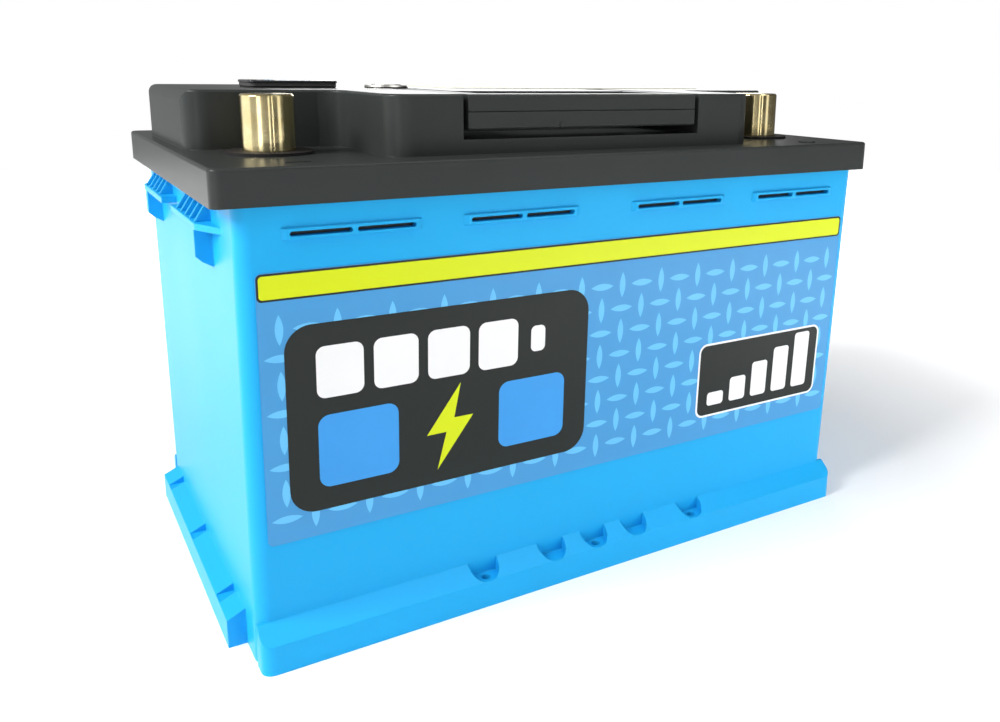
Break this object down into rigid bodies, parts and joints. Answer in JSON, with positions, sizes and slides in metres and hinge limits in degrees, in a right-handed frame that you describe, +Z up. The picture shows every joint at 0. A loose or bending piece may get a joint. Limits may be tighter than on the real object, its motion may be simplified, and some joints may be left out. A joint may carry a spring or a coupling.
{
  "type": "starter battery",
  "caption": "Car-size starter battery with front posts, hold-down ledges, folding carry handle, reset button and charge display, with its cells and board inside.",
  "frame": {"origin": "centre of the case's base, on the surface that it stands on", "axes": "+X along the case, towards the positive post; -Y is the front, with the posts and the label; +Z up"},
  "size_m": [0.2808, 0.175, 0.1938],
  "materials": {
    "case_plastic": "satin moulded, sky blue",
    "lid_plastic": "matt moulded, charcoal",
    "handle_plastic": "matt moulded, charcoal",
    "post_brass": "turned and polished",
    "rubber": "matt",
    "steel": "zinc plated",
    "copper": "tinned copper bar, bare",
    "cell_film": "blue insulating film over an aluminium can",
    "aluminium": "mill finish",
    "foam": "closed-cell foam",
    "pad_sheet": "insulating sheet",
    "tray_plastic": "moulded",
    "board": "lacquered circuit board",
    "wire": "insulated wire",
    "button_metal": "satin stainless steel",
    "display_plastic": "matt grey",
    "display_dark": "smoked gloss",
    "label_film": "printed film, satin",
    "deck_label_film": "printed film, satin"
  },
  "bodies": {
    "battery": {"case": "case_plastic", "lid": "lid_plastic", "lid_gasket": "rubber", "post_negative": "post_brass", "post_positive": "post_brass", "post_collars": "rubber", "post_seals": "rubber", "post_washers": "steel", "post_nuts": "steel", "busbar_negative": "copper", "busbar_positive": "copper", "board_link": "copper", "cell_1": "cell_film", "cell_2": "cell_film", "cell_3": "cell_film", "cell_4": "cell_film", "cell_pads": "pad_sheet", "end_plates": "aluminium", "pack_straps": "steel", "end_foams": "foam", "base_mat": "foam", "cell_links": "copper", "link_bolts": "steel", "board_tray": "tray_plastic", "tray_screws": "steel", "heat_spreader": "aluminium", "management_board": "board", "board_screws": "steel", "sense_wires": "wire", "button_body": "button_metal", "button_spring": "steel", "button_nut": "steel", "button_seal": "rubber", "button_leads": "wire", "display_housing": "display_plastic", "display_lens": "display_dark", "display_gasket": "rubber", "display_board": "board", "display_leads": "wire", "front_label": "label_film", "top_label": "deck_label_film"},
    "handle": {"handle": "handle_plastic"},
    "button": {"button_cap": "button_metal"}
  },
  "joints": [
    {"name": "handle_hinge", "type": "hinge", "parent": "battery", "child": "handle", "pos_m": [0, -0.012, 0.18475], "axis": [-1, 0, 0], "range_deg": [0, 90]},
    {"name": "button_press", "type": "slide", "parent": "battery", "child": "button", "axis": [0, 0, -1], "range_m": [0, 0.002], "stiffness_N_per_m": 600, "springref_m": -0.002, "deforming": ["button_spring"]}
  ]
}
